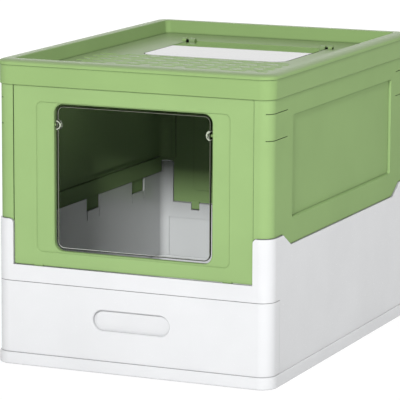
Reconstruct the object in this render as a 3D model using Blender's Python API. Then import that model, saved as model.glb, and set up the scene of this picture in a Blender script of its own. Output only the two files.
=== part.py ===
"""Enclosed litter box: a white base with a litter drawer, four green walls that
stand on it, a clear swinging flap in the front wall, and a lid with a filter floor
and a clear hatch. Metres, +Z up, front towards -Y, origin under the middle."""

import math

import bmesh
import bpy
from mathutils import Matrix, Vector

# Clearances and mesh settings
GAP = 0.0003  # between neighbouring pieces
SEAM_GAP = 0.0007  # shown between pieces that another seat holds apart
OVERRUN = 0.004  # how far a cutter runs past what it cuts
MERGE = 0.00001
CAP_SHARE = 0.9  # a face whose normal has this share of Z belongs to a cap
CORNER_SEGMENTS = 6
SMALL_SEGMENTS = 3
SLOT_SEGMENTS = 2
ROD_SIDES = 16

# The body, measured over the green walls
BODY_WIDTH = 0.366
BODY_DEPTH = 0.492
CORNER_RADIUS = 0.016

# Base frame
BASE_PROUD = 0.002  # the base stands this far outside the walls
BASE_WALL = 0.0075
BASE_SKIN = 0.0025  # each skin of the hollow base wall
PLINTH_PROUD = 0.0023  # the plinth stands this far outside the base
PLINTH_HEIGHT = 0.0152
PLINTH_EDGE = 0.0016
FLOOR_THICKNESS = 0.0025
RIB_THICKNESS = 0.002
POCKETS_ACROSS = 3
POCKETS_ALONG = 4
SILL_HEIGHT = 0.1272
SILL_DROP = 0.001  # the sill slopes down towards the inside
SIDE_SEAM_HEIGHT = 0.1695
CORNER_SEAM_RISE = 0.0155  # the seam stands this much higher at the corners
SEAM_CORNER_LENGTH = 0.0375  # level stretch of the seam at each corner
SEAM_SLOPE_LENGTH = 0.0255
POST_RADIUS = 0.005  # rounds the corner posts beside the front and back walls
CORE_DROP = 0.0285  # from the side seam down to the hollow in the base's side walls
BACK_CORE_TOP = 0.1
BACK_CORE_INSET = 0.04
BACK_STEP_HEIGHT = 0.1052
BACK_STEP_DEPTH = 0.0012

# Litter drawer
DRAWER_TOP = 0.106
DRAWER_WRAP = 0.030  # length of the front's returns round the corners
DRAWER_SKIN = 0.003
TRAY_WALL = 0.0025
TRAY_SIDE_CLEARANCE = 0.001
TRAY_TOP = 0.052
TRAY_WEBS = 4
TRAY_FRONT_INSET = 0.014  # from the drawer's face to the tray's front wall
TRAY_BACK_CLEARANCE = 0.008
TRAY_RADIUS = 0.012
TRAY_DRAFT = 0.002
GRIP_LENGTH = 0.103
GRIP_HEIGHT = 0.0257
GRIP_MIDDLE = 0.0661
GRIP_DEPTH = 0.0064
GRIP_WALL = 0.002
GRIP_LIP = 0.0012

# Side walls
WALL_THICKNESS = 0.003
SIDE_WALL_TOP = 0.3632
FLANGE_WIDTH = 0.022  # each side wall turns round the corner by this much
PANEL_INSET = 0.071  # from the wall's ends to the sunk panel
PANEL_RISE = 0.0325  # from the side seam up to the panel
PANEL_TOP = 0.326
PANEL_DEPTH = 0.0035
PANEL_RADIUS = 0.004
PANEL_BEVEL = 0.0012
LATCH_BOTTOM = 0.3027
LATCH_TOP = 0.336
LATCH_TIP = 0.008  # from the outer side to the latch's free end on the front
LATCH_LENGTH = 0.0525
LATCH_SLOT = 0.0009
LATCH_TIP_DEPTH = 0.0007
SKIRT_HEIGHT = 0.0205  # the skirt thickens the wall's foot on the inside
SKIRT_END_GAP = 0.002
TAB_WIDTH = 0.0405
TAB_LENGTH = 0.018
TAB_THICKNESS = 0.0024
TAB_END_MARGIN = 0.003  # from the outer tabs to the seam's slopes
TAB_MIDDLE_SHIFT = 0.0175
TAB_SLIT_WIDTH = 0.0015
TAB_SLIT_LENGTH = 0.0125

# Front and back walls
END_SETBACK = 0.001  # from the corners' face to the wall's face
END_THICKNESS = 0.003
END_TOP = 0.3522
END_FOOT_GAP = 0.0008
STOP_WIDTH = 0.0025  # the edge that bears on the back of the flange
STOP_THICKNESS = 0.0022
STOP_BOTTOM = 0.19
FRAME_HALF_WIDTH = 0.129
FRAME_BOTTOM = 0.146
FRAME_TOP = 0.3325
FRAME_DEPTH = 0.0012
FRAME_RADIUS = 0.007
FRAME_BEVEL = 0.0009
FOLD_AXIS_HEIGHT = 0.1195
FOLD_AXIS_INSET = 0.0025  # from the corners' face
LUG_SPACING = 0.254
LUG_WIDTH = 0.012
LUG_RADIUS = 0.002
LUG_RISE = 0.003
TRUNNION_RADIUS = 0.0018
TRUNNION_LENGTH = 0.0028
LUG_OUTER_SKIN = 0.0022

# Entrance, its flap and the flap's pins
ENTRANCE_HALF_WIDTH = 0.106
ENTRANCE_BOTTOM = 0.1475
ENTRANCE_TOP = 0.3315
ENTRANCE_RADIUS = 0.012
ENTRANCE_LIP = 0.0012
REVEAL_DEPTH = 0.0095
REVEAL_WALL = 0.0024
FLAP_SIDE_GAP = 0.003
FLAP_FOOT_GAP = 0.003
FLAP_TOP_GAP = 0.0025
FLAP_RADIUS = 0.009
FLAP_THICKNESS = 0.002
FLAP_AXIS_HEIGHT = 0.305
FLAP_AXIS_INSET = 0.0065  # from the corners' face
FLAP_EYE_LENGTH = 0.006
FLAP_EYE_WALL = 0.0014
FLAP_EYE_RADIUS = 0.0065
FLAP_EYE_EDGE = 0.001
FLAP_PIN_RADIUS = 0.0018
FLAP_PIN_LENGTH = 0.0095
FLAP_PIN_REACH = 0.0035  # how far a pin stands in its eye
FLAP_PIN_BOSS_RADIUS = 0.0046
FLAP_PIN_BOSS_LENGTH = 0.003

# Lid
LID_BOTTOM = 0.3525
LID_BAND_HEIGHT = 0.0243  # from the lid's bottom to its lip
LID_RIM_RISE = 0.0067  # from the lip to the top
LID_CLEARANCE = 0.0004
LID_BAND = 0.0015
LID_BOTTOM_EDGE = 0.0008
LID_LIP_PROUD = 0.0016
LID_LIP_RISE = 0.0003
LID_LIP_STRAIGHT = 0.0018
LID_CROWN_WIDTH = 0.0105
LID_CROWN_STEPS = 4
LID_RIM_WIDTH = 0.0195
LID_INNER_RADIUS = 0.007
LID_INNER_DRAFT = 0.002
LID_INNER_EDGE = 0.0008
LID_FLOOR_DROP = 0.0175  # from the lid's top down to its floor
LID_FLOOR = 0.0025
LID_CELL_TOP = 0.3765
LID_CELL_WALL = 0.0025
LID_CELLS_ALONG = 5
LID_CELLS_ACROSS = 4

# Filter slots in the lid's floor
SLOT_LENGTH = 0.036
SLOT_WIDTH = 0.0065
SLOT_PITCH = 0.0483
SLOT_ROW_PITCH = 0.012
SLOT_SIDE_MARGIN = 0.013
SLOT_FRONT_MARGIN = 0.020
SLOT_HATCH_MARGIN = 0.013

# Top hatch, its seat in the lid and its pins
HATCH_HALF_WIDTH = 0.1
HATCH_FRONT = -0.003
HATCH_LENGTH = 0.155
HATCH_RADIUS = 0.018
HATCH_THICKNESS = 0.002
HATCH_CLEARANCE = 0.0004
HATCH_SIDE_CLEARANCE = 0.0012
HATCH_LEDGE = 0.006
HATCH_FRAME_WIDTH = 0.006
HATCH_FRAME_DEPTH = 0.004
HATCH_AXIS_SETBACK = 0.002  # from the hatch's rear edge to its hinge axis
HATCH_AXIS_DROP = 0.0003  # from the floor's face down to the axis
HATCH_SWEEP_GAP = 0.0032
HATCH_EYE_LENGTH = 0.008
HATCH_EYE_INSET = 0.002
HATCH_EYE_WALL = 0.0014
HATCH_EYE_CLEARANCE = 0.0008
HATCH_PIN_RADIUS = 0.0024
HATCH_PIN_SHOWN = 0.0047
HATCH_LUG_WIDTH = 0.0055
HATCH_LUG_RADIUS = 0.0042

# Worked out from the sizes above
CORNER_SEAM_HEIGHT = SIDE_SEAM_HEIGHT + CORNER_SEAM_RISE
CORE_TOP = SIDE_SEAM_HEIGHT - CORE_DROP
PANEL_BOTTOM = SIDE_SEAM_HEIGHT + PANEL_RISE
SKIRT_TOP = SIDE_SEAM_HEIGHT + SKIRT_HEIGHT
TAB_BOTTOM = SIDE_SEAM_HEIGHT - TAB_LENGTH
LID_LIP_HEIGHT = LID_BOTTOM + LID_BAND_HEIGHT
LID_TOP = LID_LIP_HEIGHT + LID_RIM_RISE
LID_FLOOR_TOP = LID_TOP - LID_FLOOR_DROP
HALF_WIDTH = BODY_WIDTH / 2
HALF_DEPTH = BODY_DEPTH / 2
BASE_HALF_WIDTH = HALF_WIDTH + BASE_PROUD
BASE_HALF_DEPTH = HALF_DEPTH + BASE_PROUD
BASE_RADIUS = CORNER_RADIUS + BASE_PROUD
FLANGE_EDGE = HALF_WIDTH - FLANGE_WIDTH
FOLD_AXIS_Y = HALF_DEPTH - FOLD_AXIS_INSET
FLAP_AXIS_Y = -HALF_DEPTH + FLAP_AXIS_INSET
LID_INNER_HALF_WIDTH = HALF_WIDTH + LID_CLEARANCE
LID_INNER_HALF_DEPTH = HALF_DEPTH + LID_CLEARANCE
LID_FLOOR_UNDERSIDE = LID_FLOOR_TOP - LID_FLOOR
HATCH_BACK = HATCH_FRONT + HATCH_LENGTH
HATCH_AXIS_Y = HATCH_BACK + HATCH_AXIS_SETBACK
HATCH_AXIS_Z = LID_FLOOR_TOP - HATCH_AXIS_DROP

# Colour, roughness, transmission
GREEN = ((0.37, 0.56, 0.22), 0.5, 0.0)
WHITE = ((0.82, 0.83, 0.84), 0.45, 0.0)
CLEAR = ((0.92, 0.95, 0.93), 0.06, 1.0)
BLACK = ((0.03, 0.035, 0.03), 0.4, 0.0)

# Where an outline's two directions and its extrusion point
AXES = {
    "X": Matrix(((0, 0, 1), (1, 0, 0), (0, 1, 0))),
    "Y": Matrix(((1, 0, 0), (0, 0, 1), (0, 1, 0))),
    "Z": Matrix.Identity(3),
}


def clear_scene():
    """Removes every object of the open scene."""
    for thing in list(bpy.data.objects):
        bpy.data.objects.remove(thing, do_unlink=True)


def new_collection(name):
    """A collection linked to the scene."""
    collection = bpy.data.collections.new(name)
    bpy.context.scene.collection.children.link(collection)
    return collection


def new_material(name, finish):
    """A Principled material of one colour, roughness and transmission."""
    colour, roughness, transmission = finish
    material = bpy.data.materials.new(name)
    material.use_nodes = True
    shader = material.node_tree.nodes["Principled BSDF"]
    shader.inputs["Base Color"].default_value = (*colour, 1)
    shader.inputs["Roughness"].default_value = roughness
    shader.inputs["Transmission Weight"].default_value = transmission
    return material


def new_object(name, mesh):
    """A mesh object among the cutters, until it is made a part."""
    thing = bpy.data.objects.new(name, mesh)
    thing.hide_render = True
    thing.display_type = "WIRE"
    CUTTERS.objects.link(thing)
    return thing


def make_part(thing, finish, origin=(0, 0, 0), parent=None):
    """Moves a solid to the object's own collection, with its material and origin."""
    thing.data.transform(Matrix.Translation(-Vector(origin)))
    thing.location = origin
    thing.hide_render = False
    thing.display_type = "TEXTURED"
    CUTTERS.objects.unlink(thing)
    PARTS.objects.link(thing)
    thing.data.materials.append(new_material(thing.name, finish))
    if parent is not None:
        thing.parent = parent
        thing.location = Vector(origin) - parent.location
    return thing


def rounded_rectangle(half_u, half_v, radius, centre=(0, 0), segments=CORNER_SEGMENTS):
    """Outline with an arc at each corner, anticlockwise."""
    points = []
    for quarter, (u, v) in enumerate(((1, 1), (-1, 1), (-1, -1), (1, -1))):
        middle_u = centre[0] + u * (half_u - radius)
        middle_v = centre[1] + v * (half_v - radius)
        for step in range(segments + 1):
            angle = (quarter + step / segments) * math.pi / 2
            across = middle_u + radius * math.cos(angle)
            along = middle_v + radius * math.sin(angle)
            points.append((across, along))
    return points


def rectangle_between(low_u, high_u, low_v, high_v, radius, segments=CORNER_SEGMENTS):
    """Rounded rectangle given by its four sides."""
    centre = ((low_u + high_u) / 2, (low_v + high_v) / 2)
    return rounded_rectangle((high_u - low_u) / 2, (high_v - low_v) / 2, radius, centre, segments)


def box(name, low, high):
    """A cube primitive brought to its two corners."""
    low = Vector(low)
    high = Vector(high)
    shape = bmesh.new()
    bmesh.ops.create_cube(shape, size=1)
    size = Matrix.Diagonal((*(high - low), 1))
    shape.transform(Matrix.Translation((low + high) / 2) @ size)
    return finish_shape(name, shape)


def rod(name, radius, start, end, across, along, sides=ROD_SIDES):
    """A cylinder primitive lying along X, at Y = across and Z = along."""
    shape = bmesh.new()
    bmesh.ops.create_cone(
        shape,
        cap_ends=True,
        segments=sides,
        radius1=radius,
        radius2=radius,
        depth=abs(end - start),
    )
    place = Matrix.Translation(((start + end) / 2, across, along))
    shape.transform(place @ Matrix.Rotation(math.pi / 2, 4, "Y"))
    return finish_shape(name, shape)


def finish_shape(name, shape):
    """Stores a shape as a mesh object."""
    bmesh.ops.recalc_face_normals(shape, faces=shape.faces)
    if shape.calc_volume(signed=True) < 0:
        bmesh.ops.reverse_faces(shape, faces=shape.faces)
    mesh = bpy.data.meshes.new(name)
    shape.to_mesh(mesh)
    shape.free()
    return new_object(name, mesh)


def prism(name, outline, start, end, axis="Z"):
    """A flat outline, filled and extruded from start to end along an axis."""
    curve = bpy.data.curves.new(name, "CURVE")
    curve.dimensions = "2D"
    curve.fill_mode = "BOTH"
    curve.extrude = abs(end - start) / 2
    spline = curve.splines.new("POLY")
    spline.points.add(len(outline) - 1)
    for point, (across, along) in zip(spline.points, outline):
        point.co = (across, along, 0, 1)
    spline.use_cyclic_u = True
    holder = bpy.data.objects.new(name, curve)
    CUTTERS.objects.link(holder)
    bpy.context.view_layer.update()
    evaluated = holder.evaluated_get(bpy.context.evaluated_depsgraph_get())
    mesh = bpy.data.meshes.new_from_object(evaluated)
    shape = bmesh.new()
    shape.from_mesh(mesh)
    bpy.data.objects.remove(holder)
    bpy.data.curves.remove(curve)
    bpy.data.meshes.remove(mesh)
    bmesh.ops.remove_doubles(shape, verts=shape.verts, dist=MERGE)
    caps = [face for face in shape.faces if abs(face.normal.z) > CAP_SHARE]
    inner = {edge for face in caps for edge in face.edges}
    inner = [edge for edge in inner if all(face in caps for face in edge.link_faces)]
    bmesh.ops.dissolve_edges(shape, edges=inner, use_verts=False)
    shape.transform(Matrix.Translation((0, 0, (start + end) / 2)))
    shape.transform(AXES[axis].to_4x4())
    return finish_shape(name, shape)


def loft(name, rings, axis="Z"):
    """A closed solid through outlines of equal point counts, each with its level."""
    shape = bmesh.new()
    turn = AXES[axis]
    loops = []
    for outline, level in rings:
        places = [turn @ Vector((across, along, level)) for across, along in outline]
        loops.append([shape.verts.new(place) for place in places])
    for low, high in zip(loops, loops[1:]):
        for here in range(len(low)):
            there = (here + 1) % len(low)
            shape.faces.new((low[here], low[there], high[there], high[here]))
    shape.faces.new(reversed(loops[0]))
    shape.faces.new(loops[-1])
    bmesh.ops.remove_doubles(shape, verts=shape.verts, dist=MERGE)
    return finish_shape(name, shape)


def combine(target, others, operation):
    """Adds one Boolean modifier for each of the others."""
    for other in others:
        modifier = target.modifiers.new(other.name, "BOOLEAN")
        modifier.operation = operation
        modifier.object = other
        modifier.solver = "EXACT"
    return target


def cut(target, *cutters):
    """Takes the cutters out of the target."""
    return combine(target, cutters, "DIFFERENCE")


def join(target, *others):
    """Fuses the others into the target."""
    return combine(target, others, "UNION")


def gather(name, things):
    """Makes one cutter of solids that lie apart."""
    shape = bmesh.new()
    for thing in things:
        mesh = thing.data
        shape.from_mesh(mesh)
        bpy.data.objects.remove(thing)
        bpy.data.meshes.remove(mesh)
    mesh = bpy.data.meshes.new(name)
    shape.to_mesh(mesh)
    shape.free()
    return new_object(name, mesh)


def seam_slope(level):
    """Distance from the middle, along Y, of the seam's sloping stretch at a height."""
    corner = HALF_DEPTH - SEAM_CORNER_LENGTH
    steepness = SEAM_SLOPE_LENGTH / (CORNER_SEAM_HEIGHT - SIDE_SEAM_HEIGHT)
    return corner - (CORNER_SEAM_HEIGHT - level) * steepness


def tab_places():
    """Middles of the three tabs of a side wall, along Y."""
    outer = seam_slope(SIDE_SEAM_HEIGHT) - TAB_WIDTH / 2 - TAB_END_MARGIN
    return [-outer, TAB_MIDDLE_SHIFT, outer]


def post_rounding(name, side, radius, near, far):
    """A prism over the rounded shoulder of the corner posts, its arc of this radius."""
    middle_x = FLANGE_EDGE + POST_RADIUS
    middle_z = CORNER_SEAM_HEIGHT - SEAM_GAP - POST_RADIUS
    edge = FLANGE_EDGE if radius > POST_RADIUS else FLANGE_EDGE - OVERRUN
    ceiling = CORNER_SEAM_HEIGHT + OVERRUN
    first = math.acos(min(1, POST_RADIUS / radius))
    outline = [(side * middle_x, ceiling), (side * edge, ceiling)]
    if radius <= POST_RADIUS:
        outline.append((side * edge, middle_z))
    for step in range(CORNER_SEGMENTS + 1):
        angle = first + step / CORNER_SEGMENTS * (math.pi / 2 - first)
        across = middle_x - radius * math.cos(angle)
        outline.append((side * across, middle_z + radius * math.sin(angle)))
    return prism(name, outline, near, far, "Y")


def cut_wall_cores(base):
    """Hollows the base's side and back walls from below."""
    inner = BASE_HALF_WIDTH - BASE_WALL + BASE_SKIN
    outer = BASE_HALF_WIDTH - BASE_SKIN
    start = -BASE_HALF_DEPTH + DRAWER_WRAP + GAP + BASE_SKIN
    end = BASE_HALF_DEPTH - BASE_RADIUS
    foot = PLINTH_HEIGHT - FLOOR_THICKNESS - OVERRUN
    cores = []
    for side in (-1, 1):
        left, right = sorted((side * inner, side * outer))
        cores.append(box("side_core", (left, start, foot), (right, end, CORE_TOP)))
    width = HALF_WIDTH - BACK_CORE_INSET
    near = BASE_HALF_DEPTH - BASE_WALL + BASE_SKIN
    far = BASE_HALF_DEPTH - BASE_SKIN
    cores.append(box("back_core", (-width, near, foot), (width, far, BACK_CORE_TOP)))
    cut(base, gather("cores", cores))


def cut_underside(base):
    """Pockets under the floor, with ribs left between them."""
    width = 2 * (BASE_HALF_WIDTH - BASE_SKIN) + 2 * GAP
    depth = 2 * (BASE_HALF_DEPTH - BASE_SKIN) + 2 * GAP
    pitch_x = (width + RIB_THICKNESS) / POCKETS_ACROSS
    pitch_y = (depth + RIB_THICKNESS) / POCKETS_ALONG
    top = PLINTH_HEIGHT - FLOOR_THICKNESS
    pockets = []
    for column in range(POCKETS_ACROSS):
        for row in range(POCKETS_ALONG):
            left = -width / 2 + column * pitch_x
            near = -depth / 2 + row * pitch_y
            right = left + pitch_x - RIB_THICKNESS
            far = near + pitch_y - RIB_THICKNESS
            radius = BASE_RADIUS - BASE_SKIN
            outline = rectangle_between(left, right, near, far, radius, SMALL_SEGMENTS)
            pockets.append(prism("pocket", outline, -OVERRUN, top))
    cut(base, gather("pockets", pockets))


def cut_tab_seats(base):
    """Rebates for the side walls' skirts and seats for their tabs, with slits below."""
    inner = BASE_HALF_WIDTH - BASE_WALL
    skirt = HALF_WIDTH - WALL_THICKNESS
    seat = skirt + TAB_THICKNESS + GAP
    reach = TAB_WIDTH / 2 + GAP
    rebates = []
    seats = []
    slits = []
    for side in (-1, 1):
        left, right = sorted((side * (inner - OVERRUN), side * (skirt + GAP)))
        end = BASE_HALF_DEPTH - BASE_WALL - SKIRT_END_GAP + GAP
        low = (left, -end, SIDE_SEAM_HEIGHT - SEAM_GAP)
        rebates.append(box("rebate", low, (right, end, CORNER_SEAM_HEIGHT + OVERRUN)))
        left, right = sorted((side * (inner - OVERRUN), side * seat))
        slit_left, slit_right = sorted((side * (inner - OVERRUN / 2), side * (seat + GAP)))
        for middle in tab_places():
            low = (left, middle - reach, TAB_BOTTOM - GAP)
            high = (right, middle + reach, SIDE_SEAM_HEIGHT + OVERRUN)
            seats.append(box("seat", low, high))
            for end in (-1, 1):
                place = middle + end * (reach - TAB_SLIT_WIDTH)
                low = (slit_left, place - TAB_SLIT_WIDTH / 2, TAB_BOTTOM - TAB_SLIT_LENGTH)
                high = (slit_right, place + TAB_SLIT_WIDTH / 2, TAB_BOTTOM + GAP)
                slits.append(box("slit", low, high))
    cut(base, gather("skirt_rebates", rebates))
    cut(base, gather("tab_seats", seats), gather("tab_slits", slits))


def cut_lug_seats(base):
    """Seats and sockets for the front and back walls' lugs."""
    seats = []
    sockets = []
    for end in (-1, 1):
        outside = end * (BASE_HALF_DEPTH - LUG_OUTER_SKIN)
        inside = end * (BASE_HALF_DEPTH - BASE_WALL - OVERRUN)
        near, far = sorted((outside, inside))
        bottom = FOLD_AXIS_HEIGHT - LUG_RADIUS - 2 * GAP
        place = end * FOLD_AXIS_Y
        bore = TRUNNION_RADIUS + GAP
        for side in (-1, 1):
            middle = side * LUG_SPACING / 2
            reach = LUG_WIDTH / 2 + GAP
            low = (middle - reach, near, bottom)
            high = (middle + reach, far, SILL_HEIGHT + OVERRUN)
            seats.append(box("seat", low, high))
            reach += TRUNNION_LENGTH
            socket = rod("socket", bore, middle - reach, middle + reach, place, FOLD_AXIS_HEIGHT)
            sockets.append(socket)
    cut(base, gather("lug_seats", seats), gather("lug_sockets", sockets))


def cut_sills(base):
    """Brings the front and back of the base down to their sloping sills."""
    end = BASE_HALF_DEPTH + OVERRUN
    axis = FOLD_AXIS_Y
    slope = SILL_DROP / (axis - BASE_HALF_DEPTH + BASE_WALL)
    inner = BASE_HALF_DEPTH - BASE_WALL - OVERRUN
    low = SILL_HEIGHT - (axis - inner) * slope
    ceiling = CORNER_SEAM_HEIGHT + OVERRUN
    sills = []
    for side in (-1, 1):
        outline = [(side * inner, low), (side * axis, SILL_HEIGHT), (side * end, SILL_HEIGHT)]
        outline += [(side * end, ceiling), (side * inner, ceiling)]
        sills.append(prism("sill", outline, -FLANGE_EDGE, FLANGE_EDGE, "X"))
    cut(base, gather("sills", sills))
    shoulders = []
    for side in (-1, 1):
        for place in (-1, 1):
            near, far = sorted((place * end, place * inner))
            shoulders.append(post_rounding("shoulder", side, POST_RADIUS, near, far))
    cut(base, gather("shoulders", shoulders))


def make_base_frame():
    """White frame: plinth, floor, hollow side and back walls, sills and corner posts."""
    outline = rounded_rectangle(BASE_HALF_WIDTH, BASE_HALF_DEPTH, BASE_RADIUS)
    top = CORNER_SEAM_HEIGHT - SEAM_GAP
    base = prism("base_frame", outline, PLINTH_HEIGHT - FLOOR_THICKNESS / 2, top)

    def ring(inset, level):
        proud = PLINTH_PROUD - inset
        half_width = BASE_HALF_WIDTH + proud
        half_depth = BASE_HALF_DEPTH + proud
        return rounded_rectangle(half_width, half_depth, BASE_RADIUS + proud), level

    rings = [ring(PLINTH_EDGE / 2, 0), ring(0, PLINTH_EDGE / 2)]
    rings += [ring(0, PLINTH_HEIGHT - PLINTH_EDGE)]
    rings += [ring(PLINTH_EDGE / 2, PLINTH_HEIGHT - PLINTH_EDGE / 4)]
    rings += [ring(PLINTH_EDGE, PLINTH_HEIGHT)]
    join(base, loft("plinth", rings))

    inner_width = BASE_HALF_WIDTH - BASE_WALL
    inner_depth = BASE_HALF_DEPTH - BASE_WALL
    inside = rounded_rectangle(inner_width, inner_depth, BASE_RADIUS - BASE_WALL)
    cut(base, prism("inside", inside, PLINTH_HEIGHT, top + OVERRUN))

    reach = inner_width - BASE_RADIUS + BASE_WALL
    low = (-reach, inner_depth - OVERRUN, PLINTH_HEIGHT)
    high = (reach, inner_depth + BACK_STEP_DEPTH, BACK_STEP_HEIGHT)
    cut(base, box("back_step", low, high))

    wide = BASE_HALF_WIDTH + OVERRUN
    low = (-wide, -BASE_HALF_DEPTH - OVERRUN, PLINTH_HEIGHT)
    high = (wide, -BASE_HALF_DEPTH + DRAWER_WRAP + GAP, DRAWER_TOP + SEAM_GAP)
    cut(base, box("drawer_front_space", low, high))

    upper = seam_slope(CORNER_SEAM_HEIGHT + OVERRUN)
    lower = seam_slope(SIDE_SEAM_HEIGHT)
    seam = [(-upper, top + OVERRUN), (-lower, SIDE_SEAM_HEIGHT - SEAM_GAP)]
    seam += [(lower, SIDE_SEAM_HEIGHT - SEAM_GAP), (upper, top + OVERRUN)]
    right = prism("seam_right", seam, inner_width - OVERRUN, wide, "X")
    left = prism("seam_left", seam, -wide, OVERRUN - inner_width, "X")
    cut(base, gather("seams", [right, left]))
    cut_sills(base)
    cut_underside(base)
    cut_wall_cores(base)
    cut_tab_seats(base)
    cut_lug_seats(base)
    return make_part(base, WHITE)


def make_litter_drawer(base):
    """White drawer: a front that turns round the corners, and an open tray."""
    bottom = PLINTH_HEIGHT + GAP
    face = -BASE_HALF_DEPTH
    back = face + DRAWER_WRAP
    outline = rounded_rectangle(BASE_HALF_WIDTH, BASE_HALF_DEPTH, BASE_RADIUS)
    drawer = prism("litter_drawer", outline, bottom, DRAWER_TOP)
    wide = BASE_HALF_WIDTH + OVERRUN
    low = (-wide, back, bottom - OVERRUN)
    high = (wide, BASE_HALF_DEPTH + OVERRUN, DRAWER_TOP + OVERRUN)
    cut(drawer, box("behind_front", low, high))

    half_width = BASE_HALF_WIDTH - DRAWER_SKIN
    half_depth = BASE_HALF_DEPTH - DRAWER_SKIN
    hollow = rounded_rectangle(half_width, half_depth, BASE_RADIUS - DRAWER_SKIN)
    cut(drawer, prism("front_hollow", hollow, bottom - OVERRUN, DRAWER_TOP - DRAWER_SKIN))

    tray_half = BASE_HALF_WIDTH - BASE_WALL - TRAY_SIDE_CLEARANCE
    tray_front = face + TRAY_FRONT_INSET
    tray_back = BASE_HALF_DEPTH - BASE_WALL - TRAY_BACK_CLEARANCE
    body = rectangle_between(-tray_half, tray_half, tray_front, tray_back, TRAY_RADIUS)
    join(drawer, prism("tray_body", body, bottom, TRAY_TOP))
    webs = []
    for number in range(TRAY_WEBS):
        middle = ((number + 1 / 2) / TRAY_WEBS * 2 - 1) * tray_half
        low = (middle - RIB_THICKNESS / 2, face + DRAWER_SKIN / 2, bottom)
        high = (middle + RIB_THICKNESS / 2, tray_front + TRAY_WALL / 2, TRAY_TOP - TRAY_WALL)
        webs.append(box("web", low, high))
    join(drawer, gather("tray_webs", webs))
    grip_half = GRIP_LENGTH / 2 + GRIP_WALL
    grip_rise = GRIP_HEIGHT / 2 + GRIP_WALL
    cup = rounded_rectangle(grip_half, grip_rise, grip_rise, (0, GRIP_MIDDLE))
    cup_start = face + DRAWER_SKIN / 2
    join(drawer, prism("grip_cup", cup, cup_start, face + GRIP_DEPTH + GRIP_WALL, "Y"))

    def cavity(inset, level):
        edge = tray_half - TRAY_WALL - inset
        near = tray_front + TRAY_WALL + inset
        far = tray_back - TRAY_WALL - inset
        return rectangle_between(-edge, edge, near, far, TRAY_RADIUS - TRAY_WALL), level

    rings = [cavity(TRAY_DRAFT, bottom + TRAY_WALL), cavity(0, TRAY_TOP)]
    rings += [cavity(0, DRAWER_TOP + OVERRUN)]
    cut(drawer, loft("tray_cavity", rings))

    def grip(flare, level):
        half_height = GRIP_HEIGHT / 2 + flare
        half_length = GRIP_LENGTH / 2 + flare
        return rounded_rectangle(half_length, half_height, half_height, (0, GRIP_MIDDLE)), level

    rings = [grip(GRIP_LIP, face - OVERRUN), grip(GRIP_LIP, face), grip(0, face + GRIP_LIP)]
    rings += [grip(0, face + GRIP_DEPTH - GRIP_LIP), grip(-GRIP_LIP, face + GRIP_DEPTH)]
    cut(drawer, loft("grip_recess", rings, "Y"))
    return make_part(drawer, WHITE, (0, face, bottom), base)


def cut_latches(wall, side):
    """Cuts each corner's latch tongue free above and below, with a line at its tip."""
    outer = HALF_WIDTH + OVERRUN
    tip = HALF_WIDTH - LATCH_TIP
    slots = []
    tips = []
    for end in (-1, 1):
        near, far = sorted((end * (HALF_DEPTH + OVERRUN), end * (HALF_DEPTH - LATCH_LENGTH)))
        left, right = sorted((side * tip, side * outer))
        for level in (LATCH_BOTTOM, LATCH_TOP - LATCH_SLOT):
            slots.append(box("slot", (left, near, level), (right, far, level + LATCH_SLOT)))
        near, far = sorted((end * (HALF_DEPTH + OVERRUN / 2), end * (HALF_DEPTH - LATCH_TIP_DEPTH)))
        left, right = sorted((side * (tip - LATCH_SLOT / 2), side * (tip + LATCH_SLOT / 2)))
        low = (left, near, LATCH_BOTTOM + LATCH_SLOT / 2)
        high = (right, far, LATCH_TOP - LATCH_SLOT / 2)
        tips.append(box("tip", low, high))
    cut(wall, gather("latch_slots", slots), gather("latch_tips", tips))


def add_foot(wall, side):
    """Gives a side wall its skirt, tabs and the edges that fit the base's posts."""
    inner = HALF_WIDTH - WALL_THICKNESS
    left, right = sorted((side * (BASE_HALF_WIDTH - BASE_WALL), side * (inner + WALL_THICKNESS / 2)))
    end = BASE_HALF_DEPTH - BASE_WALL - SKIRT_END_GAP
    split = seam_slope(SIDE_SEAM_HEIGHT) - TAB_END_MARGIN / 2
    low = (left, -split, SIDE_SEAM_HEIGHT)
    join(wall, box(f"{wall.name}_skirt", low, (right, split, SKIRT_TOP)))
    left, right = sorted((side * (BASE_HALF_WIDTH - BASE_WALL), side * inner))
    low = (left, -end, SIDE_SEAM_HEIGHT)
    join(wall, box(f"{wall.name}_long_skirt", low, (right, end, SKIRT_TOP)))
    left, right = sorted((side * inner, side * (inner + TAB_THICKNESS)))
    tabs = []
    for middle in tab_places():
        low = (left, middle - TAB_WIDTH / 2, TAB_BOTTOM)
        high = (right, middle + TAB_WIDTH / 2, SIDE_SEAM_HEIGHT + OVERRUN)
        tabs.append(box("tab", low, high))
    join(wall, gather(f"{wall.name}_tabs", tabs))
    edges = []
    for place in (-1, 1):
        near, far = sorted((place * HALF_DEPTH, place * (HALF_DEPTH - WALL_THICKNESS)))
        edges.append(post_rounding("post_edge", side, POST_RADIUS + SEAM_GAP, near, far))
    join(wall, gather(f"{wall.name}_post_edges", edges))


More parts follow.
